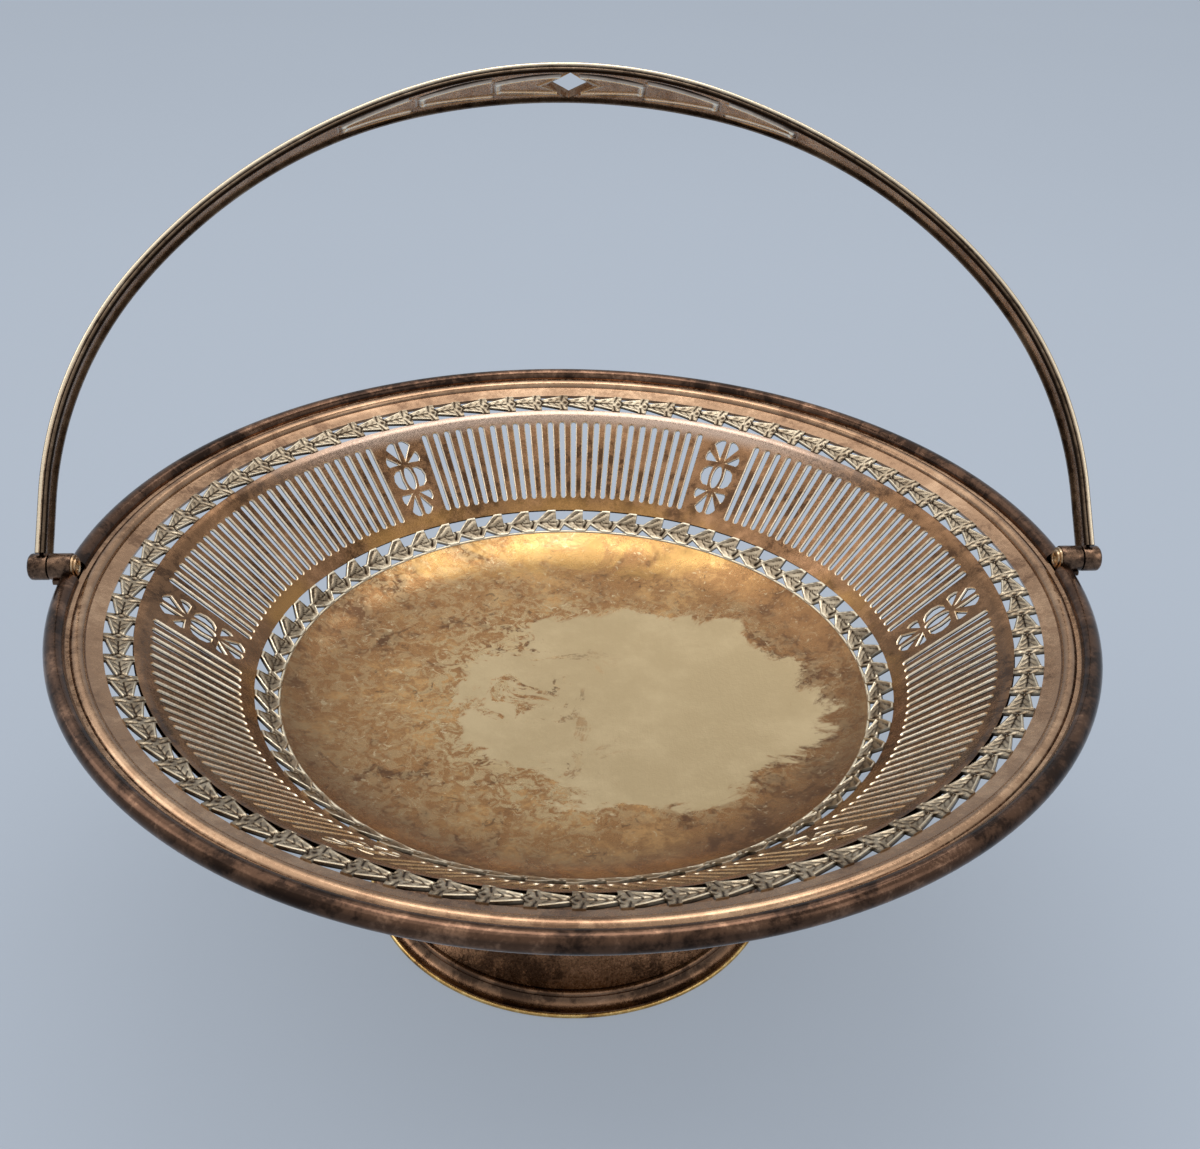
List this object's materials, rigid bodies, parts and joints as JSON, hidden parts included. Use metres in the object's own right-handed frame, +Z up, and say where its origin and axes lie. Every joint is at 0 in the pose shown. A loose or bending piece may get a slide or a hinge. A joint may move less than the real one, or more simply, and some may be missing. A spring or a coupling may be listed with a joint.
{
  "type": "footed cake basket with swing handle",
  "caption": "Round footed cake basket in worn silver plate, with a pierced gallery, two pierced leaf bands, a rolled rim and an arched strap handle that swings on two rim hinges.",
  "frame": {"origin": "middle of the foot's base, on the surface that the basket stands on", "axes": "+Z up, X along the handle's hinge line, the viewer of the picture on the -Y side; the handle is stored leaning 42 degrees towards +Y"},
  "size_m": [0.2858, 0.27, 0.2187],
  "materials": {
    "well_plate": "worn silver plate with brown tarnish",
    "leaf_plate": "pale worn silver plate",
    "wall_plate": "brown tarnished silver plate",
    "rim_plate": "brown tarnished silver plate",
    "foot_plate": "dark brown tarnished silver plate",
    "brass_wire": "worn golden brass",
    "hinge_plate": "near black tarnished plate",
    "pin_plate": "worn plate",
    "handle_plate": "grey brown tarnished plate",
    "edge_plate": "dark tarnished plate with bright edges"
  },
  "bodies": {
    "basket": {"well_dish": "well_plate", "inner_leaf_band": "leaf_plate", "gallery_panel_1": "wall_plate", "gallery_panel_2": "wall_plate", "gallery_panel_3": "wall_plate", "gallery_panel_4": "wall_plate", "gallery_panel_5": "wall_plate", "gallery_panel_6": "wall_plate", "outer_leaf_band": "leaf_plate", "rim_flange": "rim_plate", "rim_wire": "rim_plate", "foot": "foot_plate", "foot_wire": "brass_wire", "hinge_lug_left": "hinge_plate", "hinge_lug_right": "hinge_plate", "hinge_pin_left": "pin_plate", "hinge_pin_right": "pin_plate"},
    "handle": {"handle_strap": "handle_plate", "handle_edge_front": "edge_plate", "handle_edge_back": "edge_plate", "handle_knuckle_left": "hinge_plate", "handle_knuckle_right": "hinge_plate"}
  },
  "joints": [
    {"name": "handle_swing", "type": "hinge", "parent": "basket", "child": "handle", "pos_m": [0, 0, 0.10765], "axis": [1, 0, 0], "range_deg": [-48, 132]}
  ]
}
